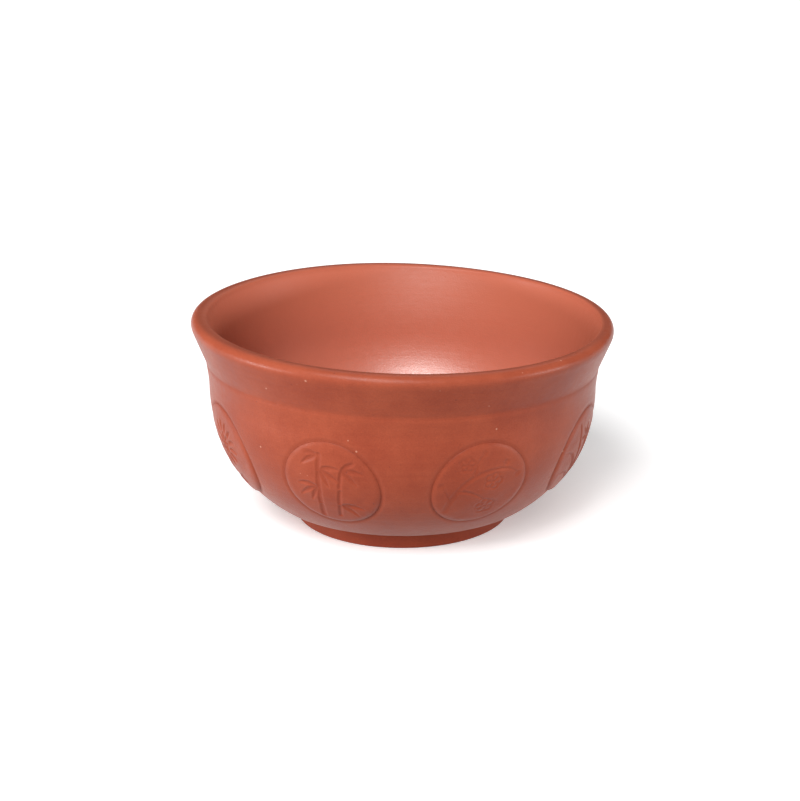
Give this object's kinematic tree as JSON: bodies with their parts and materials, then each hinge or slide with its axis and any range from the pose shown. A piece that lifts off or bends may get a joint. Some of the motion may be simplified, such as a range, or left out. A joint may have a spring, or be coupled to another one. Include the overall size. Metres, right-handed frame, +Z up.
{
  "type": "gongfu teacup",
  "caption": "Small bowl-shaped gongfu teacup of unglazed red clay, with a flared neck, rounded lip, recessed foot ring and a row of applied round sprigs on its belly.",
  "frame": {"origin": "centre of the foot ring's underside, on the table", "axes": "+Z up along the cup's axis, out of its mouth; -Y faces the picture's camera, midway between two roundels"},
  "size_m": [0.065, 0.065, 0.0322],
  "materials": {
    "clay_bowl": "unglazed red clay, burnished to a soft sheen",
    "clay_foot": "unglazed red clay, trimmed and left matt",
    "clay_roundel": "unglazed red clay, burnished over incised lines"
  },
  "bodies": {
    "root": {"bowl": "clay_bowl", "foot_ring": "clay_foot", "roundel_1": "clay_roundel", "roundel_2": "clay_roundel", "roundel_3": "clay_roundel", "roundel_4": "clay_roundel", "roundel_5": "clay_roundel", "roundel_6": "clay_roundel", "roundel_7": "clay_roundel", "roundel_8": "clay_roundel"}
  },
  "joints": []
}
